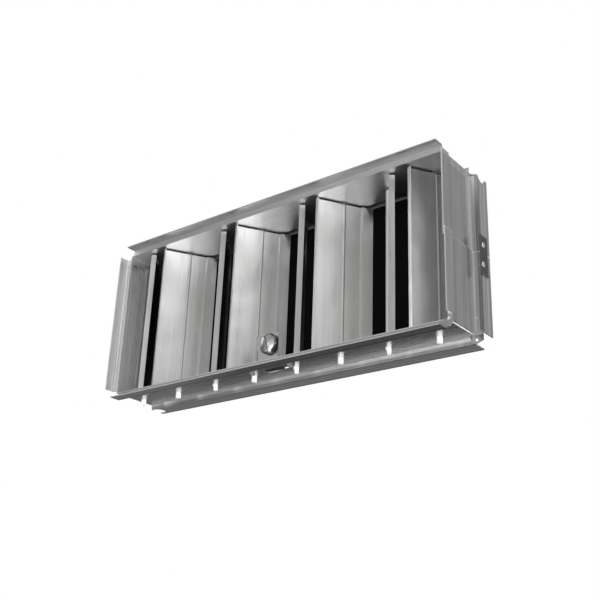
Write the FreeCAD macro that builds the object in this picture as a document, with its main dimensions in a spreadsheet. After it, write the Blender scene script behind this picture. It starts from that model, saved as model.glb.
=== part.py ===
import FreeCAD, Part
import os
import Sketcher

# Opposed blade damper for a ventilation grille: a frame folded from one
# stepped aluminium strip, eight upright blades that turn in opposite ways in
# pairs, and a slotted operator at the front that drives them.
# Frame of reference, in mm: X to the right, Y to the back, Z up. The origin is
# the middle of the row of blade pins, on the underside of the bottom web.

os.makedirs("parts", exist_ok=True)
doc = FreeCAD.newDocument("damper")
V = FreeCAD.Vector
Z_AXIS = V(0, 0, 1)

BLADE_COUNT = 8
DRIVEN_BLADE = 5

# Driving dimensions
DIMENSIONS = [
    ("pitch", 44.45),
    ("left_margin", 6.6),
    ("right_margin", 23.2),
    ("opening_top", 137.1),
    ("sheet", 1.0),
    ("lip_step", 5.06),
    ("front_bend", 27.2),
    ("front_edge", 36.5),
    ("back_bend", 13.5),
    ("back_edge", 29.5),
    ("corner_inset", 2.5),
    ("side_lip_bottom", 3.1),
    ("seam_height", 68.5),
    ("seam_overlap", 6.0),
    ("corner_radius", 2.0),
    ("back_slope", 1.2),
    ("front_lean", 1.2),
    ("front_drop", 1.0),
    ("groove_depth", 0.35),
    ("groove_first", 8.5),
    ("groove_second", 14.0),
    ("bite_radius", 6.2),
    ("bite_place", 7.4),
    ("low_bite_inset", 3.1),
    ("high_bite_outset", 2.1),
    ("splice_width", 10.9),
    ("splice_height", 32.0),
    ("splice_below", 18.5),
    ("rivet_above", 5.5),
    ("rivet_below", 11.1),
    ("blade_sheet", 0.9),
    ("blade_offset", 0.75),
    ("blade_front", 25.4),
    ("blade_back", 25.6),
    ("blade_flange", 5.55),
    ("step_place", 15.0),
    ("step_run", 1.0),
    ("step_rise", 1.8),
    ("boss_radius", 2.1),
    ("boss_bore", 1.5),
    ("blade_bottom", 2.2),
    ("top_gap", 1.2),
    ("first_cut", 5.5),
    ("last_cut", 20.2),
    ("rest_angle", 58.5),
    ("journal_radius", 2.2),
    ("journal_fit", 0.05),
    ("pin_reach", 4.8),
    ("collar_radius", 3.2),
    ("crank_radius", 5.0),
    ("crank_peg", 1.2),
    ("arm_radius", 7.5),
    ("arm_peg", 1.3),
    ("arm_half_width", 2.0),
    ("arm_sheet", 0.9),
    ("arm_peg_length", 2.4),
    ("shank_length", 10.0),
    ("crank_gain", 0.925),
    ("bar_width", 16.0),
    ("bar_end", 3.9),
    ("bar_play", 0.2),
    ("link_play", 0.3),
    ("knob_x", 6.0),
    ("knob_z", 18.6),
    ("knob_radius", 8.75),
    ("knob_front", 19.0),
    ("knob_thick", 2.2),
    ("knob_bevel", 0.9),
    ("knob_flat", 6.4),
    ("knob_slot_width", 4.0),
    ("knob_slot_depth", 1.2),
    ("knob_slot_turn", 115),
    ("shaft_radius", 2.5),
    ("lever_length", 11.68),
    ("lever_sheet", 1.0),
    ("lever_ratio", 0.6),
    ("plate_left", 9.5),
    ("plate_right", 14.6),
    ("plate_top", 28.0),
    ("plate_back", 14.2),
    ("plate_sheet", 0.8),
    ("tab_left", 15.6),
    ("tab_right", 23.5),
    ("tab_front", 13.7),
    ("tab_back", 7.1),
    ("tab_reach", 2.4),
    ("tab_sheet", 0.8),
    ("tab_play", 0.1),
    ("link_bottom", 2.3),
    ("link_sheet", 0.8),
    ("link_front", 11.0),
    ("link_back", 5.5),
    ("link_tab_half", 4.2),
    ("link_tab_height", 9.0),
    ("fork_half", 3.4),
    ("slot_left", 7.0),
    ("slot_right", 18.0),
    ("slot_front", 9.5),
    ("slot_back", 1.0),
    ("foot_depth", 3.6),
    ("plate_stem", 2.5),
    ("stem_top", 12.8),
    ("ear_bottom", 20.5),
    ("lever_half_width", 3.0),
    ("lever_peg_length", 3.5),
    ("lever_gap", 0.3),
    ("rivet_head", 0.7),
]

sheet = doc.addObject("Spreadsheet::Sheet", "dims")
for row, (alias, value) in enumerate(DIMENSIONS, start=1):
    sheet.set("A%d" % row, alias)
    sheet.set("B%d" % row, "%g" % value)
    sheet.setAlias("B%d" % row, alias)
doc.recompute()


def size(expression):
    """The number that an expression over the sheet's names stands for."""
    result = sheet.evalExpression(expression)
    return float(getattr(result, "Value", result))


def bound(expression):
    """The same expression as other objects must write it."""
    words = dict(DIMENSIONS)
    text = ""
    word = ""
    for letter in expression + " ":
        if letter.isalpha() or letter == "_" or (word and letter.isdigit()):
            word += letter
            continue
        text += ("dims." + word) if word in words else word
        text += letter
        word = ""
    return text.strip()


def new_body(name):
    body = doc.addObject("PartDesign::Body", name)
    body.Label = name
    return body


def new_sketch(body, name, plane, offset="0"):
    """A sketch on one of the body's own origin planes, moved along its normal."""
    sketch = body.newObject("Sketcher::SketchObject", name)
    origin_plane = [f for f in body.Origin.OriginFeatures if f.Role == plane][0]
    sketch.AttachmentSupport = [(origin_plane, "")]
    sketch.MapMode = "FlatFace"
    sketch.setExpression(".AttachmentOffset.Base.z", bound(offset))
    return sketch


def add_polygon(sketch, corners):
    """A closed polygon whose corners are held by expressions over the sheet."""
    places = [V(size(x), size(y), 0) for x, y in corners]
    first = sketch.GeometryCount
    count = len(corners)
    for i in range(count):
        line = Part.LineSegment(places[i], places[(i + 1) % count])
        sketch.addGeometry(line, False)
    for i in range(count):
        following = first + (i + 1) % count
        sketch.addConstraint(Sketcher.Constraint("Coincident", first + i, 2, following, 1))
    for i, (x, y) in enumerate(corners):
        for kind, expression, place in (("DistanceX", x, places[i].x), ("DistanceY", y, places[i].y)):
            held = Sketcher.Constraint(kind, -1, 1, first + i, 1, place)
            number = sketch.addConstraint(held)
            sketch.setExpression("Constraints[%d]" % number, bound(expression))


def add_rectangle(sketch, left, bottom, right, top):
    add_polygon(sketch, [(left, bottom), (right, bottom), (right, top), (left, top)])


def add_circle(sketch, x, y, radius):
    number = sketch.addGeometry(Part.Circle(V(size(x), size(y), 0), Z_AXIS, size(radius)), False)
    for kind, expression in (("DistanceX", x), ("DistanceY", y)):
        held = Sketcher.Constraint(kind, -1, 1, number, 3, size(expression))
        constraint = sketch.addConstraint(held)
        sketch.setExpression("Constraints[%d]" % constraint, bound(expression))
    constraint = sketch.addConstraint(Sketcher.Constraint("Radius", number, size(radius)))
    sketch.setExpression("Constraints[%d]" % constraint, bound(radius))


def pad(body, name, sketch, length, back=False):
    feature = body.newObject("PartDesign::Pad", name)
    feature.Profile = sketch
    feature.Length = size(length)
    feature.setExpression("Length", bound(length))
    feature.Reversed = back
    doc.recompute()
    return feature


def pocket(body, name, sketch, length, back=False):
    before = body.Shape.Volume
    feature = body.newObject("PartDesign::Pocket", name)
    feature.Profile = sketch
    feature.Length = size(length)
    feature.setExpression("Length", bound(length))
    feature.Reversed = back
    doc.recompute()
    if body.Shape.Volume > before - 0.01:
        raise ValueError("pocket %s cuts nothing" % name)
    return feature


def cylinder(name, radius, length, place, turn=None):
    """A Part::Cylinder with its sizes and place bound to the sheet."""
    piece = doc.addObject("Part::Cylinder", name)
    piece.setExpression("Radius", bound(radius))
    piece.setExpression("Height", bound(length))
    place_at(piece, place, turn)
    return piece


def box(name, lengths, place):
    piece = doc.addObject("Part::Box", name)
    for side, length in zip(("Length", "Width", "Height"), lengths):
        piece.setExpression(side, bound(length))
    place_at(piece, place)
    return piece


def place_at(piece, place, turn=None):
    if turn is not None:
        piece.Placement = FreeCAD.Placement(V(0, 0, 0), turn)
    for side, expression in zip("xyz", place):
        piece.setExpression("Placement.Base." + side, bound(expression))


def fuse(name, pieces):
    joined = doc.addObject("Part::MultiFuse", name)
    joined.Shapes = pieces
    return joined


def cut(name, base, tool):
    rest = doc.addObject("Part::Cut", name)
    rest.Base = base
    rest.Tool = tool
    return rest


BLADE_TOP = "opening_top - top_gap"
SIDE_LIP_TOP = "opening_top - side_lip_bottom"


def blade_x(number):
    return "%g * pitch" % (number - (BLADE_COUNT + 1) / 2)


def is_even(number):
    return number % 2 == 0


def turned(number, crossed_at):
    """Angle about Z of a lever arm that points across the row, to the front on
    an even blade and to the back on an odd one, when blades stand crossed_at."""
    lead = "rest_angle - %s" % crossed_at
    return ("-90 + (%s)" % lead) if is_even(number) else ("90 - (%s)" % lead)


LEFT = "-3.5 * pitch - left_margin"
RIGHT = "3.5 * pitch + right_margin"
TO_BACK = FreeCAD.Rotation(V(1, 0, 0), -90)
HALF_OPEN = "45"

# Frame: one folded strip. Its web is a ring, and stepped lips stand outward
# from the web's front and back bends on every side. On the right the two ends
# of the strip lap, the upper one inside the lower one.
frame = new_body("frame")
ring = new_sketch(frame, "web_ring", "XZ_Plane", "-(back_bend + sheet)")
add_polygon(ring, [
    (LEFT + " - sheet", "0"),
    (RIGHT, "0"),
    (RIGHT, "seam_height"),
    (RIGHT + " - sheet", "seam_height"),
    (RIGHT + " - sheet", "opening_top + sheet"),
    (LEFT + " - sheet", "opening_top + sheet"),
])
add_polygon(ring, [
    (LEFT, "sheet"),
    (RIGHT + " - sheet", "sheet"),
    (RIGHT + " - sheet", "seam_height - seam_overlap"),
    (RIGHT + " - 2 * sheet", "seam_height - seam_overlap"),
    (RIGHT + " - 2 * sheet", "opening_top"),
    (LEFT, "opening_top"),
])
pad(frame, "web", ring, "front_bend + back_bend + sheet")


def fillet(body, name, radius, chosen):
    """Rounds the edges of the body so far that chosen(edge) picks."""
    feature = body.newObject("PartDesign::Fillet", name)
    tip = body.Tip if body.Tip != feature else feature.BaseFeature
    names = ["Edge%d" % number for number, edge in enumerate(tip.Shape.Edges, start=1) if chosen(edge)]
    feature.Base = (tip, names)
    feature.setExpression("Radius", bound(radius))
    doc.recompute()
    return feature


def along_y(edge):
    limits = edge.BoundBox
    return limits.YLength > 10 and limits.XLength < 0.01 and limits.ZLength < 0.01


def at_corner(edge, x_places, z_places):
    limits = edge.BoundBox
    at_x = any(abs(limits.XMin - place) < 0.01 for place in x_places)
    at_z = any(abs(limits.ZMin - place) < 0.01 for place in z_places)
    return along_y(edge) and at_x and at_z


OUTER_X = [size(LEFT + " - sheet"), size(RIGHT), size(RIGHT + " - sheet")]
INNER_X = [size(LEFT), size(RIGHT + " - sheet"), size(RIGHT + " - 2 * sheet")]
fillet(frame, "outer_corners", "corner_radius",
       lambda edge: at_corner(edge, OUTER_X, [0.0, size("opening_top + sheet")]))
fillet(frame, "inner_corners", "corner_radius - sheet",
       lambda edge: at_corner(edge, INNER_X, [size("sheet"), size("opening_top")]))


def add_lips(sketch, face, away, across_first, front_step="lip_step", back_step="lip_step"):
    """The front and back lip sections of one side. face is the web's outer
    face, away is +1 or -1, and across_first says which sketch axis is Y."""
    sign, other = ("+", "-") if away > 0 else ("-", "+")
    web_inside = "%s %s sheet" % (face, other)
    outer = "%s %s (%s)" % (face, sign, front_step)
    inner = "%s %s sheet" % (outer, other)
    front = [
        ("-front_edge", outer),
        ("-front_bend + sheet", outer),
        ("-front_bend + sheet", web_inside),
        ("-front_bend", web_inside),
        ("-front_bend", inner),
        ("-front_edge", inner),
    ]
    outer = "%s %s (%s)" % (face, sign, back_step)
    inner = "%s %s sheet" % (outer, other)
    groove = "%s %s groove_depth" % (outer, other)
    back = [("back_bend", web_inside), ("back_bend + back_slope", outer)]
    for place in ("groove_first", "groove_second"):
        back += [
            ("back_bend + %s - groove_depth" % place, outer),
            ("back_bend + %s" % place, groove),
            ("back_bend + %s + groove_depth" % place, outer),
        ]
    back += [
        ("back_edge", outer),
        ("back_edge", inner),
        ("back_bend + back_slope + sheet", inner),
        ("back_bend + sheet", web_inside),
    ]
    for corners in (front, back):
        if not across_first:
            corners = [(b, a) for a, b in corners]
        add_polygon(sketch, corners)


for name, face, away, front_step in (
    ("bottom_lips", "0", -1, "lip_step + front_drop"),
    ("top_lips", "opening_top + sheet", 1, "lip_step"),
):
    section = new_sketch(frame, name + "_section", "YZ_Plane", LEFT + " + corner_inset")
    add_lips(section, face, away, True, front_step)
    pad(frame, name, section, "%s - corner_inset - (%s + corner_inset)" % (RIGHT, LEFT))
LOWER = ("side_lip_bottom", "seam_height")
UPPER = ("seam_height - seam_overlap", SIDE_LIP_TOP)
WHOLE = ("side_lip_bottom", SIDE_LIP_TOP)
for name, face, away, (low, high), front_step, back_step in (
    ("left_lips", LEFT + " - sheet", -1, WHOLE, "lip_step", "lip_step"),
    ("right_lower_lips", RIGHT, 1, LOWER, "lip_step - front_lean", "lip_step"),
    ("right_upper_lips", RIGHT + " - sheet", 1, UPPER, "lip_step - front_lean", "lip_step + sheet"),
):
    section = new_sketch(frame, name + "_section", "XY_Plane", low)
    add_lips(section, face, away, False, front_step, back_step)
    pad(frame, name, section, "%s - (%s)" % (high, low))


# The lower right corner, where the strip's two ends were not notched: the
# front and back risers go on round the corner
for name, behind, step, low in (
    ("front_gusset", "front_bend - sheet", "lip_step - front_lean - sheet", "0.3 * lip_step"),
    ("back_gusset", "-back_bend - sheet", "lip_step", "0.6 * lip_step"),
):
    gusset = new_sketch(frame, name + "_outline", "XZ_Plane", behind)
    add_polygon(gusset, [
        (RIGHT + " - corner_inset - sheet", "-lip_step"),
        (RIGHT, "-lip_step"),
        ("%s + %s" % (RIGHT, step), "-%s" % low),
        ("%s + %s" % (RIGHT, step), "side_lip_bottom + sheet"),
        (RIGHT + " - sheet", "side_lip_bottom + sheet"),
        (RIGHT + " - sheet", "0.5 * sheet"),
        (RIGHT + " - corner_inset - sheet", "0.5 * sheet"),
    ])
    pad(frame, name, gusset, "sheet")

# Round bites at the ends of the back lips, where the strip was notched to fold
LEFT_END = LEFT + " + corner_inset"
RIGHT_END = RIGHT + " - corner_inset"
BITE_Y = "back_bend + bite_place"
for name, height, inset in (
    ("low_bites", "-lip_step - sheet", "low_bite_inset"),
    ("high_bites", "opening_top + lip_step - sheet", "-high_bite_outset"),
):
    bites = new_sketch(frame, name, "XY_Plane", height)
    add_circle(bites, "%s + (%s)" % (LEFT_END, inset), BITE_Y, "bite_radius")
    if name == "high_bites":
        add_circle(bites, "%s - (%s)" % (RIGHT_END, inset), BITE_Y, "bite_radius")
    pocket(frame, name + "_cut", bites, "4 * sheet", back=True)
LOW_END = "side_lip_bottom - high_bite_outset"
HIGH_END = SIDE_LIP_TOP + " + high_bite_outset"
for name, across, ends in (
    ("left_bites", LEFT + " - lip_step - 2 * sheet", (LOW_END, HIGH_END)),
    ("right_bites", RIGHT + " + lip_step - 2 * sheet", (HIGH_END,)),
):
    bites = new_sketch(frame, name, "YZ_Plane", across)
    for end in ends:
        add_circle(bites, BITE_Y, end, "bite_radius")
    pocket(frame, name + "_cut", bites, "3 * sheet", back=True)

# Pin holes through both webs, the operator's slot and the two tab slots
holes = new_sketch(frame, "pin_holes", "XY_Plane", "opening_top + 2 * sheet")
for number in range(1, BLADE_COUNT + 1):
    add_circle(holes, blade_x(number), "0", "journal_radius + journal_fit")
pocket(frame, "pin_holes_cut", holes, "opening_top + 4 * sheet")
slots = new_sketch(frame, "slots", "XY_Plane", "2 * sheet")
add_rectangle(slots, "-slot_left", "-slot_front", "slot_right", "-slot_back")
for place in ("-tab_left", "tab_right"):
    add_rectangle(
        slots,
        place + " - tab_sheet / 2 - tab_play",
        "-tab_front - tab_play",
        place + " + tab_sheet / 2 + tab_play",
        "-tab_back + tab_play",
    )
pocket(frame, "slots_cut", slots, "4 * sheet")


def add_blade(number):
    """One length of the blade section: a turned front flange, a round boss on
    the pivot line and a small step near the back edge. The blades at the two
    ends of the row are cut back to swing clear of the side walls."""
    body = new_body("blade_%d" % number)
    section = new_sketch(body, "blade_section_%d" % number, "XY_Plane")
    near = "-blade_offset"
    far = "-(blade_offset + blade_sheet)"
    corners = [
        ("-blade_front", near),
        ("-blade_front", "-blade_flange"),
        ("-blade_front + blade_sheet", "-blade_flange"),
        ("-blade_front + blade_sheet", far),
    ]
    if number == 1:
        corners += [("first_cut", far), ("first_cut", near)]
    else:
        back = "last_cut" if number == BLADE_COUNT else "blade_back"
        corners += [
            ("step_place", far),
            ("step_place + step_run", far + " - step_rise"),
            (back, far + " - step_rise"),
            (back, near + " - step_rise"),
            ("step_place + step_run + 0.3", near + " - step_rise"),
            ("step_place + 0.3", near),
        ]
    add_polygon(section, corners)
    pad(body, "panel_%d" % number, section, BLADE_TOP + " - blade_bottom")
    boss = new_sketch(body, "boss_circle_%d" % number, "XY_Plane")
    add_circle(boss, "0", "0", "boss_radius")
    pad(body, "boss_%d" % number, boss, BLADE_TOP + " - blade_bottom")
    bore = new_sketch(body, "boss_bore_%d" % number, "XY_Plane")
    add_circle(bore, "0", "0", "boss_bore")
    pocket(body, "bore_%d" % number, bore, BLADE_TOP + " - blade_bottom", back=True)
    angle = "rest_angle" if is_even(number) else "180 - rest_angle"
    stand(body, number, "blade_bottom", angle)
    return body


def stand(piece, number, height, angle):
    """Stand a piece on the axis of one blade, turned about Z."""
    piece.Placement = FreeCAD.Placement(V(0, 0, 0), FreeCAD.Rotation(Z_AXIS, 1))
    place_at(piece, (blade_x(number), "0", height))
    piece.setExpression("Placement.Rotation.Angle", "(%s) * 1 deg" % bound(angle))


def add_top_pivot(number):
    """Shank in the boss, collar under the top web, journal through it, and a
    crank with a headed peg above it."""
    tag = "_t%d" % number
    crank_bottom = "opening_top + 1.3 * sheet"
    pieces = [
        cylinder("shank" + tag, "boss_bore", "shank_length", ("0", "0", BLADE_TOP + " - shank_length")),
        cylinder("collar" + tag, "collar_radius", "sheet", ("0", "0", BLADE_TOP)),
        cylinder("journal" + tag, "journal_radius", "1.7 * sheet", ("0", "0", "opening_top - 0.3 * sheet")),
        cylinder("hub" + tag, "collar_radius", "sheet", ("0", "0", crank_bottom)),
        box("arm" + tag, ("crank_radius", "2 * journal_radius", "sheet"),
            ("0", "-journal_radius", crank_bottom)),
        cylinder("tip" + tag, "journal_radius", "sheet", ("crank_radius", "0", crank_bottom)),
        cylinder("peg" + tag, "crank_peg", "2.7 * sheet", ("crank_radius", "0", crank_bottom)),
        cylinder("head" + tag, "crank_peg + 0.6", "0.6 * sheet",
                 ("crank_radius", "0", crank_bottom + " + 2.6 * sheet")),
    ]
    pivot = fuse("top_pivot_%d" % number, pieces)
    stand(pivot, number, "0", turned(number, HALF_OPEN))
    return pivot


def add_bottom_pivot(number):
    """Shank in the boss, collar on the floor and a journal down through the
    web, flattened on one side below it. The driven blade's pivot also has an
    arm with a peg, which points to the front when the blades are half open."""
    tag = "_b%d" % number
    flat = cut(
        "pin" + tag,
        cylinder("pin_round" + tag, "journal_radius", "pin_reach + sheet", ("0", "0", "-pin_reach")),
        box("pin_flat" + tag, ("4 * journal_radius", "2 * journal_radius", "pin_reach - 1.2 * sheet"),
            ("-2 * journal_radius", "0.45 * journal_radius", "-pin_reach")),
    )
    pieces = [
        cylinder("shank" + tag, "boss_bore", "shank_length", ("0", "0", "blade_bottom")),
        cylinder("collar" + tag, "collar_radius", "blade_bottom - sheet", ("0", "0", "sheet")),
        flat,
    ]
    if number == DRIVEN_BLADE:
        arm = fuse("drive_arm", [
            box("arm" + tag, ("arm_radius", "2 * arm_half_width", "arm_sheet"),
                ("0", "-arm_half_width", "1.2 * sheet")),
            cylinder("tip" + tag, "arm_half_width", "arm_sheet", ("arm_radius", "0", "1.2 * sheet")),
            cylinder("peg" + tag, "arm_peg", "arm_peg_length", ("arm_radius", "0", "1.2 * sheet")),
        ])
        arm.Placement = FreeCAD.Placement(V(0, 0, 0), FreeCAD.Rotation(Z_AXIS, 1))
        arm.setExpression("Placement.Rotation.Angle", "%s * 3 * 1 deg" % HALF_OPEN)
        pieces.append(arm)
    pivot = fuse("bottom_pivot_%d" % number, pieces)
    stand(pivot, number, "0", "rest_angle" if is_even(number) else "180 - rest_angle")
    return pivot


for number in range(1, BLADE_COUNT + 1):
    add_blade(number)
    add_top_pivot(number)
    add_bottom_pivot(number)

# Connecting bar over the top web: one cross slot for each crank peg. It stands
# where the cranks have pushed it at the rest angle.
bar = new_body("connecting_bar")
bar_outline = new_sketch(bar, "bar_outline", "XY_Plane")
add_rectangle(
    bar_outline,
    "-3.5 * pitch - bar_end", "-bar_width / 2",
    "3.5 * pitch + bar_end", "bar_width / 2",
)
pad(bar, "bar", bar_outline, "sheet")
bar_slots = new_sketch(bar, "bar_slots", "XY_Plane")
for number in range(1, BLADE_COUNT + 1):
    side = "-" if is_even(number) else ""
    middle = blade_x(number)
    add_rectangle(
        bar_slots,
        middle + " - crank_peg - bar_play",
        side + "(crank_radius * 0.7 - crank_peg - bar_play)",
        middle + " + crank_peg + bar_play",
        side + "(crank_radius + crank_peg + bar_play)",
    )
pocket(bar, "bar_slots_cut", bar_slots, "sheet", back=True)
place_at(bar, (
    "crank_radius * crank_gain * (rest_angle - %s) * pi / 180" % HALF_OPEN,
    "0",
    "opening_top + 2.5 * sheet",
))

# Drive link just over the floor: a fork round the driven blade's arm peg and
# an upturned tab with an upright slot for the operator's lever peg.
link = new_body("drive_link")
link_outline = new_sketch(link, "link_outline", "XY_Plane")
fork = blade_x(DRIVEN_BLADE)
add_polygon(link_outline, [
    ("knob_x - link_tab_half", "-link_front"),
    (fork + " + fork_half", "-link_front"),
    (fork + " + fork_half", "-arm_radius / 2"),
    (fork + " + arm_peg + link_play", "-arm_radius / 2"),
    (fork + " + arm_peg + link_play", "-arm_radius - arm_peg - link_play"),
    (fork + " - arm_peg - link_play", "-arm_radius - arm_peg - link_play"),
    (fork + " - arm_peg - link_play", "-arm_radius / 2"),
    (fork + " - fork_half", "-arm_radius / 2"),
    (fork + " - fork_half", "-link_back"),
    ("knob_x - link_tab_half", "-link_back"),
])
pad(link, "link_strip", link_outline, "link_sheet")
tab = new_sketch(link, "link_tab", "XZ_Plane", "link_front - link_sheet")
add_rectangle(tab, "knob_x - link_tab_half", "0", "knob_x + link_tab_half", "link_tab_height")
pad(link, "link_tab_pad", tab, "link_sheet")
tab_slot = new_sketch(link, "link_tab_slot", "XZ_Plane", "link_front + link_sheet")
add_rectangle(
    tab_slot,
    "knob_x - arm_peg - link_play",
    "knob_z - lever_length - arm_peg - link_play - link_bottom",
    "knob_x + arm_peg + link_play",
    "knob_z - 0.89 * lever_length + arm_peg + link_play - link_bottom",
)
pocket(link, "link_tab_slot_cut", tab_slot, "4 * link_sheet")
place_at(link, (
    "-arm_radius * crank_gain * (rest_angle - %s) * pi / 180" % HALF_OPEN,
    "0",
    "link_bottom",
))

# Operator bracket: an upright plate, a foot along the floor and two tabs that
# go down through the floor and turn to the back under it.
bracket = new_body("bracket")
plate = new_sketch(bracket, "plate_outline", "XZ_Plane", "plate_back")
add_polygon(plate, [
    ("-plate_stem", "sheet"),
    ("plate_right", "sheet"),
    ("plate_right", "plate_top"),
    ("-plate_left", "plate_top"),
    ("-plate_left", "ear_bottom"),
    ("-0.905 * plate_left", "ear_bottom - 3.1"),
    ("-0.653 * plate_left", "ear_bottom - 5.9"),
    ("-plate_stem", "stem_top"),
])
add_circle(plate, "knob_x", "knob_z", "shaft_radius + journal_fit")
pad(bracket, "plate", plate, "plate_sheet")
foot = new_sketch(bracket, "foot_outline", "XY_Plane", "sheet")
add_rectangle(
    foot,
    "-tab_left - tab_sheet / 2", "-plate_back - plate_sheet",
    "tab_right + tab_sheet / 2", "-plate_back + foot_depth",
)
pad(bracket, "foot", foot, "plate_sheet")
for name, place in (("left_tab", "-tab_left"), ("right_tab", "tab_right")):
    tab = new_sketch(bracket, name + "_outline", "YZ_Plane", place + " - tab_sheet / 2")
    add_polygon(tab, [
        ("-tab_front", "sheet + plate_sheet / 2"),
        ("-tab_front", "-tab_reach"),
        ("-tab_back", "-tab_reach"),
        ("-tab_back", "0.9 * sheet"),
        ("-plate_back + foot_depth", "0.9 * sheet"),
        ("-plate_back + foot_depth", "sheet + plate_sheet / 2"),
    ])
    pad(bracket, name, tab, "tab_sheet")

# Operator: a slotted round knob, its shaft and washer, and the lever behind
# the plate. All stand turned to the rest angle.
knob_solid = doc.addObject("Part::Chamfer", "knob_solid")
knob_solid.Base = cylinder("knob_round", "knob_radius", "knob_thick", ("0", "0", "0"))
knob_slot = doc.addObject("Part::MultiFuse", "knob_slot")
knob_slot.Shapes = [box(
    "knob_groove",
    ("2 * knob_radius + 2", "knob_slot_width", "knob_slot_depth + 1"),
    ("-knob_radius - 1", "-knob_slot_width / 2", "knob_thick - knob_slot_depth"),
), box("knob_groove_end", ("1", "knob_slot_width", "knob_slot_depth + 1"),
       ("knob_radius", "-knob_slot_width / 2", "knob_thick - knob_slot_depth"))]
knob_slot.Placement = FreeCAD.Placement(V(0, 0, 0), FreeCAD.Rotation(Z_AXIS, 1))
knob_slot.setExpression("Placement.Rotation.Angle", bound("knob_slot_turn") + " * 1 deg")
knob_side = box("knob_side", ("knob_radius", "2 * knob_radius", "2 * knob_thick"),
                ("-knob_flat - knob_radius", "-knob_radius", "-knob_thick / 2"))
doc.recompute()
front_edges = [
    number for number, edge in enumerate(knob_solid.Base.Shape.Edges, start=1)
    if edge.BoundBox.ZMin > size("knob_thick") - 0.01
]
knob_solid.Edges = [(number, size("knob_bevel"), size("knob_bevel")) for number in front_edges]
knob = cut("knob", cut("knob_slotted", knob_solid, knob_slot), knob_side)
washer = cut(
    "operator_washer",
    cylinder("washer_round", "2 * shaft_radius", "knob_front - knob_thick - plate_back - plate_sheet",
             ("0", "0", "0")),
    cylinder("washer_hole", "shaft_radius", "4", ("0", "0", "-1")),
)
shaft = fuse("operator_shaft", [
    cylinder("shaft_round", "shaft_radius",
             "knob_front - knob_thick - plate_back + lever_gap + 1.4 * lever_sheet",
             ("0", "0", "-1.4 * lever_sheet - lever_gap")),
    cylinder("shaft_head", "1.4 * shaft_radius", "0.4 * lever_sheet",
             ("0", "0", "-1.4 * lever_sheet - lever_gap")),
])
lever = cut(
    "lever",
    fuse("lever_solid", [
        cylinder("lever_hub", "2 * shaft_radius", "lever_sheet", ("0", "0", "0")),
        box("lever_arm", ("2 * lever_half_width", "lever_length", "lever_sheet"),
            ("-lever_half_width", "-lever_length", "0")),
        cylinder("lever_tip", "lever_half_width", "lever_sheet", ("0", "-lever_length", "0")),
        cylinder("lever_peg", "arm_peg", "lever_sheet + lever_peg_length",
                 ("0", "-lever_length", "-lever_peg_length")),
    ]),
    cylinder("lever_hole", "shaft_radius", "4", ("0", "0", "-1")),
)
lever_angle = -size("lever_ratio * (rest_angle - %s)" % HALF_OPEN)
FACE_FRONT = FreeCAD.Rotation(V(0, -1, 0), lever_angle).multiply(FreeCAD.Rotation(V(1, 0, 0), 90))
for piece, depth in (
    (knob, "-knob_front + knob_thick"),
    (washer, "-plate_back - plate_sheet"),
    (shaft, "-plate_back"),
    (lever, "-plate_back + lever_gap + lever_sheet"),
):
    place_at(piece, ("knob_x", depth, "knob_z"), FACE_FRONT)

# Splice on the right back lip: a plate with a curled lower end, two rivets
lip_face = RIGHT + " + lip_step"
TO_RIGHT = FreeCAD.Rotation(V(0, 1, 0), 90)
splice_foot = "seam_height - splice_below"
splice_solid = fuse("splice_solid", [
    box("splice_flat", ("plate_sheet", "splice_width", "splice_height"),
        (lip_face, "back_bend", splice_foot)),
    cylinder("splice_curl", "plate_sheet", "splice_width",
             (lip_face + " + plate_sheet", "back_bend", splice_foot), TO_BACK),
])
RIVET_PLACES = (
    ("back_bend + 0.38 * splice_width", "seam_height + rivet_above"),
    ("back_bend + 0.28 * splice_width", "seam_height - rivet_below"),
)
shanks = []
rivets = []
for number, (rivet_y, rivet_z) in enumerate(RIVET_PLACES, start=1):
    tag = "_r%d" % number
    place = (lip_face + " - sheet - rivet_head", rivet_y, rivet_z)
    outside = (lip_face + " + plate_sheet", rivet_y, rivet_z)
    shanks.append(cylinder("rivet_hole" + tag, "boss_bore", "8 * sheet", place, TO_RIGHT))
    rivets.append(fuse("rivet" + tag, [
        cylinder("tail" + tag, "journal_radius", "rivet_head", place, TO_RIGHT),
        cylinder("shank" + tag, "boss_bore", "plate_sheet + sheet + rivet_head", place, TO_RIGHT),
        cylinder("head" + tag, "journal_radius", "rivet_head", outside, TO_RIGHT),
    ]))
splice = cut("splice_plate", splice_solid, fuse("splice_holes", shanks))
rivet_pair = doc.addObject("Part::Compound", "splice_rivets")
rivet_pair.Links = rivets
rivet_holes = new_sketch(frame, "rivet_holes", "YZ_Plane", lip_face + " + sheet")
for rivet_y, rivet_z in RIVET_PLACES:
    add_circle(rivet_holes, rivet_y, rivet_z, "boss_bore")
pocket(frame, "rivet_holes_cut", rivet_holes, "4 * sheet")
doc.recompute()

# Check every object and write one file for each piece
for item in doc.Objects:
    if "Invalid" in item.State or "Error" in item.State:
        raise ValueError("%s is %s" % (item.Name, item.State))
    shape = getattr(item, "Shape", None)
    if shape is not None and hasattr(item, "Placement") and item.isDerivedFrom("Part::Feature"):
        if shape.isNull() or not shape.isValid():
            if not item.isDerivedFrom("Part::Part2DObject"):
                raise ValueError("%s has a bad shape" % item.Name)

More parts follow.
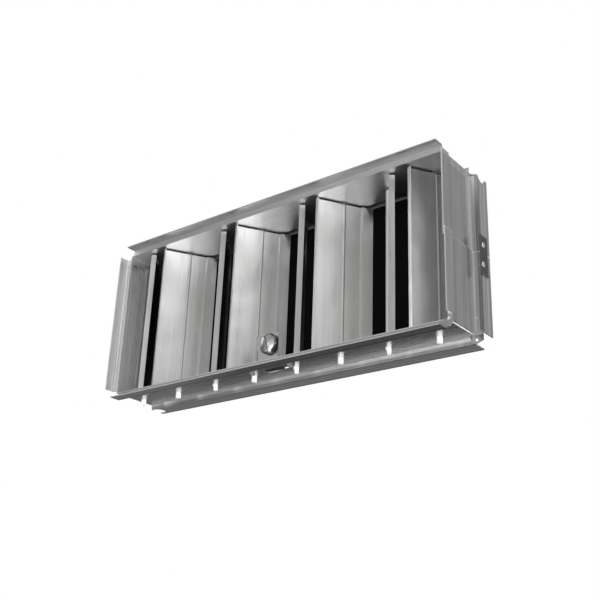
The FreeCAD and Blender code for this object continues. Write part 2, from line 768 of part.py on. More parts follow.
PIECES = ["frame", "splice_plate", "splice_rivets", "bracket", "knob", "operator_washer"]
PIECES += ["operator_shaft", "lever", "drive_link", "connecting_bar"]
for number in range(1, BLADE_COUNT + 1):
    PIECES += ["blade_%d" % number, "top_pivot_%d" % number, "bottom_pivot_%d" % number]
for name in PIECES:
    piece = doc.getObject(name)
    piece.Label = name
    piece.Shape.exportStep("parts/%s.step" % name)
    limits = piece.Shape.BoundBox
    print("%-18s %d solids  X %7.1f %7.1f  Y %6.1f %6.1f  Z %6.1f %6.1f" % (
        name, len(piece.Shape.Solids), limits.XMin, limits.XMax,
        limits.YMin, limits.YMax, limits.ZMin, limits.ZMax))
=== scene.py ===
import math

import bpy
from mathutils import Matrix, Vector


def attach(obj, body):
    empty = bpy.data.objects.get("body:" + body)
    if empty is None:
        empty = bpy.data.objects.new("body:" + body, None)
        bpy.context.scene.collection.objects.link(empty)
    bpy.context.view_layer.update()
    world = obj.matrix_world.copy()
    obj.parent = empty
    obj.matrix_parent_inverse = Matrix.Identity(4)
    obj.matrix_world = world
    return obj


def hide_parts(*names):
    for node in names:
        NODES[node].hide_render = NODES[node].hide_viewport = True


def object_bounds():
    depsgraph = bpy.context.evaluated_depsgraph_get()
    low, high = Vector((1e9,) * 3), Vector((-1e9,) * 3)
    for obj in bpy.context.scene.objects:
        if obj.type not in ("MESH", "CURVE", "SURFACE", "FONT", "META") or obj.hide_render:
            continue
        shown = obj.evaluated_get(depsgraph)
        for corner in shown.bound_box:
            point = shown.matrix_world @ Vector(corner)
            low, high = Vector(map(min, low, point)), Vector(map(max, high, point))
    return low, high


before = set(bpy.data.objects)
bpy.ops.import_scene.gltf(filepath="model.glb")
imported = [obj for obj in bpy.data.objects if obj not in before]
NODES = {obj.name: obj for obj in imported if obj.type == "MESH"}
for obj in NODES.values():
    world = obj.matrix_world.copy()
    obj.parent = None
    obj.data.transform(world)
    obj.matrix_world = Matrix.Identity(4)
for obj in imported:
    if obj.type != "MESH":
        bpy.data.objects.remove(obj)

# %% [markdown]
# # The imported part
# The damper comes in as its CAD nodes, one for each real piece. They already
# have the right size and place, so most of the work here is their finish. We
# keep the box that they fill.

# %% The frame and its box
CAD_BOX = [list(corner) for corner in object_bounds()]
(LEFT, _, BOTTOM), (RIGHT, BACK, TOP) = CAD_BOX
print(len(NODES), "nodes in a box", CAD_BOX)

# %% [markdown]
# # Small steps for materials
# A material is a graph: each node computes one thing, and links carry the
# results. The graphs here are made in code, so that a reader can see every
# value. A few helpers keep that short. Each one makes a node, feeds it with
# plain values or with other nodes' outputs, and gives back its own output.


# %% Helpers for nodes
def new_material(name):
    """A material with its nodes and its Principled shader."""
    material = bpy.data.materials.new(name)
    material.use_nodes = True
    nodes = material.node_tree.nodes
    return material, nodes, nodes["Principled BSDF"]


def feed(socket, value):
    """Links a socket to another node's output, or gives it a plain value."""
    if isinstance(value, bpy.types.NodeSocket):
        socket.id_data.links.new(value, socket)
    else:
        socket.default_value = value


def math_node(nodes, operation, *values):
    node = nodes.new("ShaderNodeMath")
    node.operation = operation
    for socket, value in zip(node.inputs, values):
        feed(socket, value)
    return node.outputs[0]


def vector_node(nodes, operation, first, second):
    """A step with vectors or colours. SCALE takes a number as its second
    value, and DISTANCE gives a number back."""
    node = nodes.new("ShaderNodeVectorMath")
    node.operation = operation
    feed(node.inputs[0], first)
    feed(node.inputs["Scale" if operation == "SCALE" else 1], second)
    return node.outputs["Value" if operation == "DISTANCE" else "Vector"]


def mixed(nodes, kind, factor, first, second):
    """Mixes two values of one kind, VECTOR or RGBA."""
    mix = nodes.new("ShaderNodeMix")
    mix.data_type = kind
    ends = {socket.name: socket for socket in mix.inputs if socket.type == kind}
    feed(mix.inputs[0], factor)
    feed(ends["A"], first)
    feed(ends["B"], second)
    return next(socket for socket in mix.outputs if socket.type == kind)


# %% Where a point lies
def place_of(nodes):
    return nodes.new("ShaderNodeTexCoord").outputs["Object"]


def axes_of(nodes):
    split = nodes.new("ShaderNodeSeparateXYZ")
    feed(split.inputs[0], place_of(nodes))
    return {axis: split.outputs[axis] for axis in "XYZ"}


def distance_from(nodes, point):
    return vector_node(nodes, "DISTANCE", place_of(nodes), point)


def inside(nodes, axes, limits):
    """One between the limits along each named axis and nought elsewhere. None
    stands for an open end."""
    within = 1.0
    for axis, (low, high) in limits.items():
        for operation, limit in (("GREATER_THAN", low), ("LESS_THAN", high)):
            if limit is not None:
                test = math_node(nodes, operation, axes[axis], limit)
                within = math_node(nodes, "MULTIPLY", within, test)
    return within


# %% [markdown]
# # Drawn and rolled metal
# Rolled sheet and extruded sections carry fine lines along the direction that
# they were drawn in. The lines are noise stretched along one axis. A group
# holds them, so that every metal of the damper can use them with its own
# direction and strength. It gives a tone near one, to multiply by, and a
# height for a bump.

# %% Streak group
ALONG_X = (0.02, 1.0, 1.0)
ALONG_Z = (1.0, 1.0, 0.02)
BROAD_SCALE = 160.0


def streak_noise(nodes, where, scale, detail):
    noise = nodes.new("ShaderNodeTexNoise")
    feed(noise.inputs["Vector"], where)
    feed(noise.inputs["Scale"], scale)
    feed(noise.inputs["Detail"], detail)
    return noise.outputs["Fac"]


def streak_group():
    group = bpy.data.node_groups.new("drawn streaks", "ShaderNodeTree")
    sockets = group.interface
    sockets.new_socket("Along", in_out="INPUT", socket_type="NodeSocketVector")
    for name in ("Fine", "Depth"):
        sockets.new_socket(name, in_out="INPUT", socket_type="NodeSocketFloat")
    for name in ("Tone", "Height"):
        sockets.new_socket(name, in_out="OUTPUT", socket_type="NodeSocketFloat")
    nodes = group.nodes
    entry = nodes.new("NodeGroupInput").outputs
    leave = nodes.new("NodeGroupOutput").inputs
    squashed = vector_node(nodes, "MULTIPLY", place_of(nodes), entry["Along"])
    fine = streak_noise(nodes, squashed, entry["Fine"], 2.0)
    broad = streak_noise(nodes, squashed, BROAD_SCALE, 1.0)
    centred = math_node(nodes, "SUBTRACT", math_node(nodes, "ADD", fine, broad), 1.0)
    feed(leave["Tone"], math_node(nodes, "MULTIPLY_ADD", centred, entry["Depth"], 1.0))
    feed(leave["Height"], fine)
    return group


STREAKS = streak_group()
print("group", STREAKS.name)

# %% [markdown]
# # The metals
# Each metal is a Principled shader with full Metallic. The streak group
# changes its tone and its roughness together, because a scratch that looks
# darker also scatters more light, and a very weak bump breaks up the
# highlights. The blades are thin extrusions that are never quite flat, so
# they get one more bump of soft waves. The frame is stiffer and gets none.

# %% Metal maker
MM = 0.001
WAVE_SCALE = 32.0
SCRATCH_HEIGHT = 0.2 * MM


def soft_waves(nodes, height):
    """The normal of a surface that bulges a little, this high at most."""
    wave = nodes.new("ShaderNodeTexNoise")
    feed(wave.inputs["Scale"], WAVE_SCALE)
    feed(wave.inputs["Detail"], 1.5)
    feed(wave.inputs["Vector"], place_of(nodes))
    dents = nodes.new("ShaderNodeBump")
    feed(dents.inputs["Strength"], 1.0)
    feed(dents.inputs["Distance"], height)
    feed(dents.inputs["Height"], wave.outputs["Fac"])
    return dents.outputs["Normal"]


def metal(name, tone, roughness, along, depth=0.25, bump=0.02, fine=2200.0, waves=0.0):
    """A drawn metal: its streaks run along the axis whose factor is smallest."""
    material, nodes, shader = new_material(name)
    shader.inputs["Metallic"].default_value = 1.0
    streaks = nodes.new("ShaderNodeGroup")
    streaks.node_tree = STREAKS
    for socket, value in (("Along", along), ("Depth", depth), ("Fine", fine)):
        feed(streaks.inputs[socket], value)
    change = streaks.outputs["Tone"]
    feed(shader.inputs["Base Color"], vector_node(nodes, "SCALE", tone, change))
    feed(shader.inputs["Roughness"], math_node(nodes, "MULTIPLY", change, roughness))
    relief = nodes.new("ShaderNodeBump")
    feed(relief.inputs["Strength"], bump)
    feed(relief.inputs["Distance"], SCRATCH_HEIGHT)
    feed(relief.inputs["Height"], streaks.outputs["Height"])
    feed(shader.inputs["Normal"], relief.outputs["Normal"])
    if waves:
        feed(relief.inputs["Normal"], soft_waves(nodes, waves))
    return material


# %% Metals of the damper
def grey(tone):
    return (tone, tone, tone)


FRAME_ROUGHNESS = 0.28
FRAME_METAL = metal("frame aluminium", grey(0.62), FRAME_ROUGHNESS, ALONG_X,
                    depth=0.22, bump=0.004, fine=900.0)
BLADE_METAL = metal("blade aluminium", (0.68, 0.68, 0.675), 0.3, ALONG_Z, depth=0.3, waves=0.9 * MM)
DARK_METAL = metal("splice metal", grey(0.16), 0.5, ALONG_Z)
RIVET_METAL = metal("rivet metal", grey(0.95), 0.35, ALONG_Z, depth=0.1)
ZINC_METAL = metal("zinc plate", grey(0.5), 0.24, ALONG_Z, depth=0.1)
KNOB_METAL = metal("polished knob", grey(0.42), 0.24, ALONG_X, depth=0.15)
print("metals", [material.name for material in bpy.data.materials])

# %% [markdown]
# # What differs over the folded strip
# The frame is one long strip, folded round its corners, so one metal has to
# cover four sides. Its rolling lines turn with the strip: they run along the
# floor and the ceiling, and up the two sides. Four materials on four sets of
# faces could do it. Here the place of each point, from its Object
# coordinates, chooses the direction, because the strip is one piece and its
# tone shouldn't jump at a fold.

# %% Streaks up the sides
SIDE_REACH = 8.4 * MM
SIDE_DEPTH = 0.26


def parts_of(material):
    """A metal's nodes, its shader and its streak group."""
    nodes = material.node_tree.nodes
    return nodes, nodes["Principled BSDF"], next(node for node in nodes if node.type == "GROUP")


def turn_streaks(material):
    nodes, _, streaks = parts_of(material)
    off_centre = math_node(nodes, "SUBTRACT", axes_of(nodes)["X"], (LEFT + RIGHT) / 2)
    off_centre = math_node(nodes, "ABSOLUTE", off_centre)
    at_side = math_node(nodes, "GREATER_THAN", off_centre, (RIGHT - LEFT) / 2 - SIDE_REACH)
    depth = streaks.inputs["Depth"]
    deeper = math_node(nodes, "MULTIPLY_ADD", at_side, SIDE_DEPTH, depth.default_value)
    feed(depth, deeper)
    feed(streaks.inputs["Along"], mixed(nodes, "VECTOR", at_side, ALONG_X, ALONG_Z))


turn_streaks(FRAME_METAL)
print("streaks turn", SIDE_REACH, "from the ends")

# %% [markdown]
# # Dull lips, painted shade and painted highlights
# The lips outside the bends are duller than the rolled web. Shade is painted
# into their grooves and onto faces that look at the dim part of the room,
# light is painted onto the left lips, and highlights are painted onto the
# lap's cut edge and a few corners of the folds. Such marks could be painted
# on an image. A list of limits along the axes needs no image, and a mark is
# moved by changing a number. Each limit makes a test that gives one inside
# and nought outside, and the tests of a mark are multiplied.

# %% Dull lips
BACK_LIP = BACK - 13.6 * MM
TOP_LIP = 130 * MM
# How much rougher each lip is than the web, as a share of the web's roughness
BACK_LIP_EXTRA = 1.1
TOP_LIP_EXTRA = 0.5


def dull_the_lips(material, roughness):
    nodes, shader, streaks = parts_of(material)
    axes = axes_of(nodes)
    behind = math_node(nodes, "GREATER_THAN", axes["Y"], BACK_LIP)
    above = math_node(nodes, "GREATER_THAN", axes["Z"], TOP_LIP)
    behind = math_node(nodes, "MULTIPLY", behind, BACK_LIP_EXTRA)
    above = math_node(nodes, "MULTIPLY", above, TOP_LIP_EXTRA)
    extra = math_node(nodes, "MAXIMUM", behind, above)
    rough = math_node(nodes, "MULTIPLY_ADD", extra, roughness, roughness)
    feed(shader.inputs["Roughness"], math_node(nodes, "MULTIPLY", rough, streaks.outputs["Tone"]))


dull_the_lips(FRAME_METAL, FRAME_ROUGHNESS)
print("lips dull behind", BACK_LIP, "and above", TOP_LIP)

# %% Painted shade and light
RISER = (-28.4 * MM, -27.0 * MM)
PAINTED_SHADE_AND_LIGHT = (
    # Painted shade in the back bend, in the two grooves of the back lip and at its edge
    (0.45, {"Y": (14.2 * MM, 15.2 * MM)}),
    (0.45, {"Y": (21.6 * MM, 22.4 * MM)}),
    (0.45, {"Y": (27.1 * MM, 27.9 * MM)}),
    (0.45, {"Y": (28.9 * MM, 29.7 * MM)}),
    # Painted shade on the whole back lip, the front lip above the opening and the one below it
    (0.22, {"Y": (14.7 * MM, None)}),
    (0.42, {"Y": (None, -27.3 * MM), "Z": (TOP - 9 * MM, None)}),
    (0.45, {"Y": RISER, "Z": (None, 0.3 * MM)}),
    # Painted shade on the small corner faces at the right end, in front and behind
    (0.35, {"X": (RIGHT - 11 * MM, RIGHT), "Y": RISER, "Z": (0.3 * MM, 4.3 * MM)}),
    (0.62, {"X": (RIGHT - 12 * MM, None), "Y": (12.9 * MM, 14.1 * MM), "Z": (None, 1 * MM)}),
    # Painted light: the left lips are paler, most of all at their edge
    (-0.45, {"X": (None, LEFT + 2 * MM)}),
    (-0.15, {"X": (None, LEFT + 7 * MM)}),
)


def paint_shade_and_light(material):
    """Paints shade by darkening the metal by each amount in its place. Less than nought paints
    light.
    """
    nodes, shader, _ = parts_of(material)
    axes = axes_of(nodes)
    factor = 1.0
    for amount, limits in PAINTED_SHADE_AND_LIGHT:
        change = math_node(nodes, "MULTIPLY", inside(nodes, axes, limits), amount)
        factor = math_node(nodes, "SUBTRACT", factor, change)
    colour = shader.inputs["Base Color"]
    feed(colour, vector_node(nodes, "SCALE", colour.links[0].from_socket, factor))


paint_shade_and_light(FRAME_METAL)
print(len(PAINTED_SHADE_AND_LIGHT), "shaded places")

# %% Painted highlights
# Painted highlights: near white on the lap's cut edge and on spots at corners of the folds
LAP_LINE = {"X": (RIGHT - 7.4 * MM, None), "Z": (67.8 * MM, 68.4 * MM)}
HIGHLIGHT_SPOTS = (
    ((0.1793, 0.0135, 0.0146), 0.8 * MM),
    ((0.1787, 0.0135, -0.0026), 0.9 * MM),
    ((0.1784, -0.0282, 0.0012), 1.6 * MM),
)
HIGHLIGHT_TONE = (0.95, 0.95, 0.95, 1)


def paint_highlights(material):
    """Paints highlights on the cut edge of the lap and on a few corners of the folds."""
    nodes, shader, _ = parts_of(material)
    glint = inside(nodes, axes_of(nodes), LAP_LINE)
    for spot, radius in HIGHLIGHT_SPOTS:
        in_spot = math_node(nodes, "LESS_THAN", distance_from(nodes, spot), radius)
        glint = math_node(nodes, "MAXIMUM", glint, in_spot)
    colour = shader.inputs["Base Color"]
    feed(colour, mixed(nodes, "RGBA", glint, colour.links[0].from_socket, HIGHLIGHT_TONE))


paint_highlights(FRAME_METAL)
print(len(HIGHLIGHT_SPOTS), "worn spots and the lap's line")

# %% [markdown]
# # Painted shade over the slot
# The slot in the floor is dark inside, though a blade's end hangs just above
# it. So shade is painted on the blade metal there. The shade could be painted
# on its own faces, but it has no sharp border, so it is a tone that fades with
# the distance from its middle.

# %% Painted shade over the slot
# Painted shade: the blade metal darkens towards this point above the slot
SLOT_SHADE_MIDDLE = (-11.0 * MM, 13.0 * MM, 5.0 * MM)
SLOT_SHADE_FADE = {"From Min": 9.0 * MM, "From Max": 15.0 * MM, "To Min": 0.15, "To Max": 1.0}


def slot_shade(material):
    nodes, shader, _ = parts_of(material)
    fade = nodes.new("ShaderNodeMapRange")
    for name, value in SLOT_SHADE_FADE.items():
        feed(fade.inputs[name], value)
    feed(fade.inputs["Value"], distance_from(nodes, SLOT_SHADE_MIDDLE))
    colour = shader.inputs["Base Color"]
    unshaded = colour.links[0].from_socket
    feed(colour, vector_node(nodes, "SCALE", unshaded, fade.outputs["Result"]))


slot_shade(BLADE_METAL)
print("grease round", SLOT_SHADE_MIDDLE)

# %% [markdown]
# # The domed knob
# The slotted knob is a small casting. Its face is a little domed, so it
# gathers the room into one bright spot, where a flat face would be one even
# tone. The dome could be modelled, but it is under two millimetres high and
# would change the outline. A bump gives the same reflections. Its height
# falls with the square of the distance from the middle, and a slope added to
# it leans the face down a little.

# %% Domed face of the knob
KNOB_CENTRE = (6.0 * MM, -19.0 * MM, 18.6 * MM)
KNOB_DOME = 22 * MM
KNOB_LEAN = 0.2
KNOB_FACE = 7.4 * MM
# Painted shade: the rim round the knob's face is darkened
RIM_SHADE = (0.13, 0.13, 0.13, 1)


def dome_the_knob(material):
    """Domes the face, and paints shade round its rim."""
    nodes, shader, _ = parts_of(material)
    relief = shader.inputs["Normal"].links[0].from_node
    split = nodes.new("ShaderNodeSeparateXYZ")
    feed(split.inputs[0], vector_node(nodes, "SUBTRACT", place_of(nodes), KNOB_CENTRE))
    across, up = split.outputs["X"], split.outputs["Z"]
    squares = [math_node(nodes, "MULTIPLY", axis, axis) for axis in (across, up)]
    square = math_node(nodes, "ADD", *squares)
    dome = math_node(nodes, "MULTIPLY", square, -0.5 / KNOB_DOME)
    bump = nodes.new("ShaderNodeBump")
    feed(bump.inputs["Strength"], 1.0)
    feed(bump.inputs["Distance"], 1.0)
    feed(bump.inputs["Height"], math_node(nodes, "MULTIPLY_ADD", up, KNOB_LEAN, dome))
    feed(relief.inputs["Normal"], bump.outputs["Normal"])
    rim = math_node(nodes, "GREATER_THAN", math_node(nodes, "SQRT", square), KNOB_FACE)
    colour = shader.inputs["Base Color"]
    feed(colour, mixed(nodes, "RGBA", rim, colour.links[0].from_socket, RIM_SHADE))


dome_the_knob(KNOB_METAL)
print("dome of radius", KNOB_DOME)

# %% [markdown]
# # Nylon pins
# The blades turn on white nylon pins. Nylon lets some light through, so the
# pins under the floor look brighter than their place in the shadow allows.
# Subsurface light would show that too, but on pins this small it costs more
# time than it is worth. A faint glow of their own, which is painted light,
# does the same. The pins at the top sit in the dark gap under the ceiling, and
# nothing white shows there, so their grey is painted shade.


# %% Nylon
def nylon(name, tone, glow):
    material, _, shader = new_material(name)
    shader.inputs["Base Color"].default_value = (tone, tone, 0.99 * tone, 1.0)
    shader.inputs["Roughness"].default_value = 0.35
    shader.inputs["Emission Color"].default_value = (1.0, 1.0, 1.0, 1.0)
    shader.inputs["Emission Strength"].default_value = glow
    return material


# Painted shade greys the top pins, and a glow of painted light brightens the bottom pins
SHADED_TOP_NYLON = nylon("top pin nylon", 0.14, 0.0)
BOTTOM_NYLON = nylon("bottom pin nylon", 0.93, 0.22)
print(SHADED_TOP_NYLON.name, "and", BOTTOM_NYLON.name)

# %% [markdown]
# # The finish of each piece
# A CAD node keeps its mesh and gets a better material in its own slots. The
# pieces are many and their kinds are few, so the piece's name chooses. What
# has no finish of its own is zinc plated steel: the bracket and the drive.

# %% Finish of each piece
FINISHES = {
    "frame": FRAME_METAL,
    "knob": KNOB_METAL,
    "splice_plate": DARK_METAL,
    "splice_rivets": RIVET_METAL,
    "blade": BLADE_METAL,
    "top_pivot": SHADED_TOP_NYLON,
    "bottom_pivot": BOTTOM_NYLON,
}


def kind_of(name):
    """The name without the number that tells alike pieces apart."""
    return name.rstrip("0123456789").rstrip("_")


def finish_of(name):
    return FINISHES.get(kind_of(name), ZINC_METAL)


for name, node in NODES.items():
    for slot in node.material_slots:
        slot.material = finish_of(name)
print("finishes set on", len(NODES), "nodes")

# %% [markdown]
# # Edges that catch the light
# Real sheet has no knife edges: each fold and each cut is a little round, and
# shows as a thin bright line. We copy a node, merge the copy's doubled corners
# and give its edges a narrow bevel. The copy then stands in for the node. The
# long folds of the frame get a wider bend first. A bump can't do this, because
# it never rounds an outline. Weighted normals keep the large faces flat, so
# that only the bevels bend the light.

# %% Folds of the frame
FOLD_RADIUS = 0.8 * MM
FRAME_FOLDS = (-26.2 * MM, -27.2 * MM, 14.5 * MM, 14.7 * MM)
FOLD_TOLERANCE = 0.05 * MM
SHORTEST_FOLD = 20 * MM


def round_folds(skin, folds):
    """Gives the long folds at these Y places a real bend radius. The part's
    copy is in edit mode, so the edges are picked by their two ends."""
    bpy.ops.mesh.select_all(action="DESELECT")
    bpy.ops.object.mode_set(mode="OBJECT")
    corners = skin.data.vertices
    for edge in skin.data.edges:
        first, second = (corners[end].co for end in edge.vertices)
        off_folds = [max(abs(first.y - fold), abs(second.y - fold)) for fold in folds]
        on_fold = min(off_folds) < FOLD_TOLERANCE
        edge.select = on_fold and (first - second).length > SHORTEST_FOLD
    bpy.ops.object.mode_set(mode="EDIT")
    bpy.ops.mesh.select_mode(type="EDGE")
    bpy.ops.mesh.bevel(offset=FOLD_RADIUS, segments=5, affect="EDGES", clamp_overlap=True)


# %% Copy, bevel and flat faces
MERGE_DISTANCE = 0.005 * MM
FLAT_ANGLE = math.radians(0.5)
EDGE_ANGLE = math.radians(25)
SMOOTH_ANGLE = math.radians(36)


def copy_node(name):
    """A copy with its own mesh, the only thing selected."""
    bpy.ops.object.select_all(action="DESELECT")
    skin = NODES[name].copy()
    skin.data = skin.data.copy()
    skin.name = name + "_skin"
    bpy.context.scene.collection.objects.link(skin)
    skin.select_set(True)
    bpy.context.view_layer.objects.active = skin
    skin.data.materials.clear()
    skin.data.materials.append(finish_of(name))
    return skin


def merge_and_fold(skin, folds):
    bpy.ops.object.mode_set(mode="EDIT")
    bpy.ops.mesh.select_all(action="SELECT")
    bpy.ops.mesh.remove_doubles(threshold=MERGE_DISTANCE)
    bpy.ops.mesh.dissolve_limited(angle_limit=FLAT_ANGLE)
    if folds:
        round_folds(skin, folds)
    bpy.ops.object.mode_set(mode="OBJECT")


def bevel_edges(skin, width, segments):
    bevel = skin.modifiers.new("soft edges", "BEVEL")
    bevel.width = width
    bevel.segments = segments
    bevel.limit_method = "ANGLE"
    bevel.angle_limit = EDGE_ANGLE
    bevel.use_clamp_overlap = True
    bpy.ops.object.modifier_apply(modifier=bevel.name)
    bpy.ops.object.shade_smooth_by_angle(angle=SMOOTH_ANGLE)
    flatten = skin.modifiers.new("flat faces stay flat", "WEIGHTED_NORMAL")
    flatten.weight = 100
    flatten.thresh = 0.001
    flatten.keep_sharp = True
    bpy.ops.object.modifier_apply(modifier=flatten.name)


# %% [markdown]
# # Which pieces are rounded
# The pieces that show get round edges. The thin dark splice plate, and what
# hides above the ceiling and behind the bracket, stay as the CAD made them.
# The pins, the knob and the rivets have round forms, so they get more
# segments and a wider round. Each copy says which node it replaces, which
# body it moves with and which finish it takes.

# %% Rounded pieces
BLADE_COUNT = 8
BODIES = {"knob": "operator", "bracket": "frame", "splice_rivets": "frame", "frame": "frame"}
SLOTS = {
    "frame": "mill_aluminium",
    "knob": "zinc_steel",
    "bracket": "zinc_steel",
    "splice_rivets": "rivet_aluminium",
}
ROUNDS = {
    "frame": (0.28 * MM, 2),
    "knob": (1.6 * MM, 4),
    "bracket": (0.2 * MM, 2),
    "splice_rivets": (0.35 * MM, 4),
}
for number in range(1, BLADE_COUNT + 1):
    blade, pin = "blade_%d" % number, "bottom_pivot_%d" % number
    BODIES[blade] = BODIES[pin] = blade
    SLOTS[blade], SLOTS[pin] = "blade_aluminium", "white_nylon"
    ROUNDS[blade], ROUNDS[pin] = (0.2 * MM, 2), (1.1 * MM, 4)

for name, (width, segments) in ROUNDS.items():
    skin = copy_node(name)
    merge_and_fold(skin, FRAME_FOLDS if name == "frame" else ())
    bevel_edges(skin, width, segments)
    skin.parent = None
    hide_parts(name)
    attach(skin, BODIES[name])
    print(skin.name, len(skin.data.polygons), "faces")

# %% [markdown]
# # The ground
# The damper stands on its lower lips, and the picture looks at it from below
# its ground. The ground is therefore clear when it is seen from its back. It
# could be left out, but then every view from above would show a part that
# floats. Only the camera sees it, so the metals mirror the tent below and not
# the ground. It lies a hair below the lips, so the two never share a plane.


# %% Surface for chosen rays
def only_seen_by(material, surface, seen):
    """Shows the surface where seen is 1 and lets rays through where it is 0."""
    nodes = material.node_tree.nodes
    mix = nodes.new("ShaderNodeMixShader")
    feed(mix.inputs["Fac"], seen)
    feed(mix.inputs[1], nodes.new("ShaderNodeBsdfTransparent").outputs[0])
    feed(mix.inputs[2], surface)
    feed(nodes["Material Output"].inputs["Surface"], mix.outputs[0])


# %% Ground
FLOOR_DROP = 0.3 * MM
FLOOR_SIZE = 30


def floor():
    bpy.ops.mesh.primitive_plane_add(size=FLOOR_SIZE, location=(0, 0, BOTTOM - FLOOR_DROP))
    plane = bpy.context.object
    plane.name = "floor"
    material, nodes, shader = new_material("pale floor")
    shader.inputs["Base Color"].default_value = (0.85, 0.85, 0.85, 1)
    shader.inputs["Roughness"].default_value = 0.9
    camera_ray = nodes.new("ShaderNodeLightPath").outputs["Is Camera Ray"]
    back = nodes.new("ShaderNodeNewGeometry").outputs["Backfacing"]
    front = math_node(nodes, "SUBTRACT", 1.0, back)
    only_seen_by(material, shader.outputs[0], math_node(nodes, "MULTIPLY", front, camera_ray))
    plane.data.materials.append(material)
    return plane


print("ground at", floor().location.z)

# %% [markdown]
# # A tent of tones
# Bare metal shows almost nothing of itself: it shows the room. The picture was
# taken in a dim studio with a few bright panels, and each face of the damper
# repeats the panel that it looks at. So the light is a tent of plain glowing
# walls, with a card where one direction needs to be brighter. Lamps would
# light the faces too, but they don't appear in a mirror as a soft, even patch.
# The tent is hidden from the camera, which sees the white world.


# %% Glowing sheet
def glow_card(name, place, width, height, tone):
    """A glowing sheet that faces the damper: metals show it, the camera doesn't."""
    turn = (-Vector(place)).to_track_quat("Z", "Y").to_euler()
    bpy.ops.mesh.primitive_plane_add(size=1, location=place, rotation=turn)
    card = bpy.context.object
    card.name = name
    card.scale = (width, height, 1)
    material, nodes, _ = new_material(name)
    glow = nodes.new("ShaderNodeEmission")
    glow.inputs["Strength"].default_value = tone
    path = nodes.new("ShaderNodeLightPath").outputs
    hidden = math_node(nodes, "MAXIMUM", path["Is Camera Ray"], path["Is Shadow Ray"])
    only_seen_by(material, glow.outputs[0], math_node(nodes, "SUBTRACT", 1.0, hidden))
    card.data.materials.append(material)


# %% Tent walls
WALL_REACH = 2.0
WALLS = {
    "wall_below": ((0, 0, -1), 0.08),
    "wall_above": ((0, 0, 1), 0.9),
    "wall_front": ((0, -1, 0), 0.95),
    "wall_back": ((0, 1, 0), 0.07),
    "wall_left": ((-1, 0, 0), 0.18),
    "wall_right": ((1, 0, 0), 0.55),
}
for wall_name, (side, tone) in WALLS.items():
    glow_card(wall_name, Vector(side) * WALL_REACH, 2 * WALL_REACH, 2 * WALL_REACH, tone)
print(len(WALLS), "walls")

# %% [markdown]
# # Cards for single directions
# Each card hangs where a ray from the camera goes after a face mirrors it.
# Its place comes from that mirrored direction, and its tone from comparing the
# render with the picture. The name says where the card hangs, or which piece
# shows it.

# %% Glow cards
CARDS = {
    "low_right_card": ((1.5, -0.35, -0.66), 1.3, 0.8, 5.4),
    "back_right_card": ((1.15, 1.35, 0.72), 1.1, 1.3, 0.33),
    "fold_card": ((0.61, 1.15, -0.92), 0.7, 0.7, 2.3),
    "high_left_card": ((-1.54, -0.31, 0.65), 0.9, 0.9, 3.1),
    "low_left_card": ((-1.5, -0.31, -0.64), 0.9, 0.7, 1.7),
    "low_front_card": ((-0.41, -1.47, -0.63), 1.0, 0.7, 3.5),
    "high_front_card": ((-0.42, -1.52, 0.66), 0.5, 0.6, 0.4),
    "plate_card": ((-0.98, -1.23, 0.65), 0.8, 0.7, 0.62),
    "knob_card": ((-0.98, -1.39, 0.05), 0.2, 0.24, 3.4),
    "flange_card": ((0.6, -1.33, 0.61), 0.8, 0.8, 0.3),
    "last_blade_card": ((0.76, -1.45, -0.8), 0.6, 0.5, 3.0),
}
for card_name, values in CARDS.items():
    glow_card(card_name, *values)
print(len(CARDS), "cards")

# %% [markdown]
# # The camera
# The picture looks up at the damper from below and from its right. The place,
# the turn and the lens were found by matching the corners of the frame with
# their places in the picture, so the render can be laid over it.

# %% Camera
CAMERA_PLACE = (0.48195, -0.57459, -0.24614)
CAMERA_AZIMUTH = math.radians(38.585)
CAMERA_ELEVATION = math.radians(22.573)
CAMERA_ROLL = math.radians(2.167)


def camera():
    data = bpy.data.cameras.new("camera")
    data.lens = 57.15
    data.sensor_width = 36.0
    data.clip_start = 0.01
    eye = bpy.data.objects.new("camera", data)
    turn = (Matrix.Rotation(CAMERA_AZIMUTH, 4, "Z")
            @ Matrix.Rotation(math.pi / 2 + CAMERA_ELEVATION, 4, "X")
            @ Matrix.Rotation(CAMERA_ROLL, 4, "Z"))
    eye.matrix_world = Matrix.Translation(Vector(CAMERA_PLACE)) @ turn
    bpy.context.scene.collection.objects.link(eye)
    bpy.context.scene.camera = eye
    return eye


print("camera at", camera().location)
bpy.context.scene.view_settings.view_transform = "Standard"

# %% [markdown]
# # The dark room behind
# Between the blades the picture is nearly black, while its surroundings are
# white. A black sheet right behind the blades would do, but it would hang in
# the opening in every other view. So there are two sheets: a near one that
# only the metals mirror, and a far one that only this camera looks at through
# the opening. The far one is the near one grown away from the camera, so it
# fills the same part of the picture and other views don't meet it.

# %% Shape of a dark card
CARD_LEFT, CARD_RIGHT = LEFT + 0.9 * MM, RIGHT - 34.0 * MM
CARD_BOTTOM, CARD_TOP = BOTTOM + 20.0 * MM, TOP - 1.0 * MM
CARD_BACK = BACK - 3.3 * MM
CARD_FOLD = 11.7 * MM


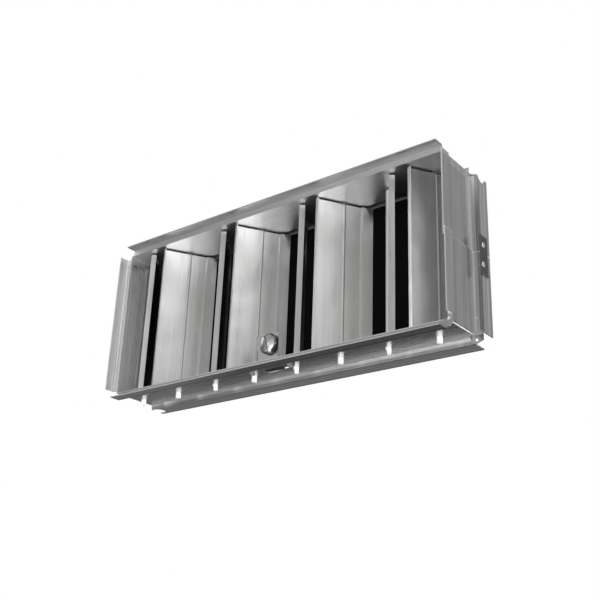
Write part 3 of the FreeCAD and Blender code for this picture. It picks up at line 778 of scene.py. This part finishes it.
def dark_sheet(name, growth):
    """An upright sheet in the opening with its top folded forward."""
    bpy.ops.object.select_all(action="DESELECT")
    bpy.ops.mesh.primitive_plane_add(size=1)
    card = bpy.context.object
    card.name = name
    size = (CARD_RIGHT - CARD_LEFT, 1, CARD_TOP - CARD_BOTTOM)
    middle = ((CARD_LEFT + CARD_RIGHT) / 2, CARD_BACK, (CARD_BOTTOM + CARD_TOP) / 2)
    bpy.ops.object.mode_set(mode="EDIT")
    bpy.ops.transform.rotate(value=-math.pi / 2, orient_axis="X", center_override=(0, 0, 0))
    bpy.ops.transform.resize(value=size, center_override=(0, 0, 0))
    bpy.ops.transform.translate(value=middle)
    bpy.ops.mesh.select_all(action="DESELECT")
    bpy.ops.object.mode_set(mode="OBJECT")
    for corner in card.data.vertices:
        corner.select = corner.co.z > middle[2]
    for edge in card.data.edges:
        edge.select = all(card.data.vertices[end].select for end in edge.vertices)
    bpy.ops.object.mode_set(mode="EDIT")
    bpy.ops.mesh.extrude_region_move(TRANSFORM_OT_translate={"value": (0, -CARD_FOLD, 0)})
    bpy.ops.mesh.select_all(action="SELECT")
    bpy.ops.transform.resize(value=(growth,) * 3, center_override=CAMERA_PLACE)
    bpy.ops.object.mode_set(mode="OBJECT")
    return card


# %% Dark cards
def dark_card(name, growth, in_picture):
    """Clear from behind, and clear to the camera unless it is in the picture."""
    card = dark_sheet(name, growth)
    material, nodes, shader = new_material(name)
    shader.inputs["Base Color"].default_value = (0.004, 0.004, 0.004, 1)
    shader.inputs["Roughness"].default_value = 1.0
    shader.inputs["Specular IOR Level"].default_value = 0.0
    clear = nodes.new("ShaderNodeNewGeometry").outputs["Backfacing"]
    if not in_picture:
        camera_ray = nodes.new("ShaderNodeLightPath").outputs["Is Camera Ray"]
        clear = math_node(nodes, "MAXIMUM", clear, camera_ray)
    only_seen_by(material, shader.outputs[0], math_node(nodes, "SUBTRACT", 1.0, clear))
    card.data.materials.append(material)
    print(card.name, "grown", growth)


dark_card("dark_card_near", 1.0, in_picture=False)
dark_card("dark_card_far", 3.5, in_picture=True)

# %% [markdown]
# # White world and one soft lamp
# The background of the picture is plain white, and so is the world here, at a
# strength of one. The tent gives the metals their tones, so a single weak
# softbox is enough: it lights the nylon and the floor from the right.


# %% World and softbox
def white_world():
    world = bpy.data.worlds.new("white room")
    bpy.context.scene.world = world
    world.use_nodes = True
    light = world.node_tree.nodes["Background"]
    light.inputs["Color"].default_value = (1, 1, 1, 1)
    light.inputs["Strength"].default_value = 1.0


def softbox(name, place, target, size, power):
    data = bpy.data.lights.new(name, "AREA")
    data.shape = "SQUARE"
    data.size = size
    data.energy = power
    lamp = bpy.data.objects.new(name, data)
    lamp.location = place
    lamp.rotation_mode = "QUATERNION"
    lamp.rotation_quaternion = (Vector(target) - Vector(place)).to_track_quat("-Z", "Y")
    bpy.context.scene.collection.objects.link(lamp)


white_world()
softbox("right softbox", place=(1.2, -0.3, 1.1), target=(0.008, 0.0, 0.07), size=0.9, power=3)
print("world and", len(bpy.data.lights), "lamp")
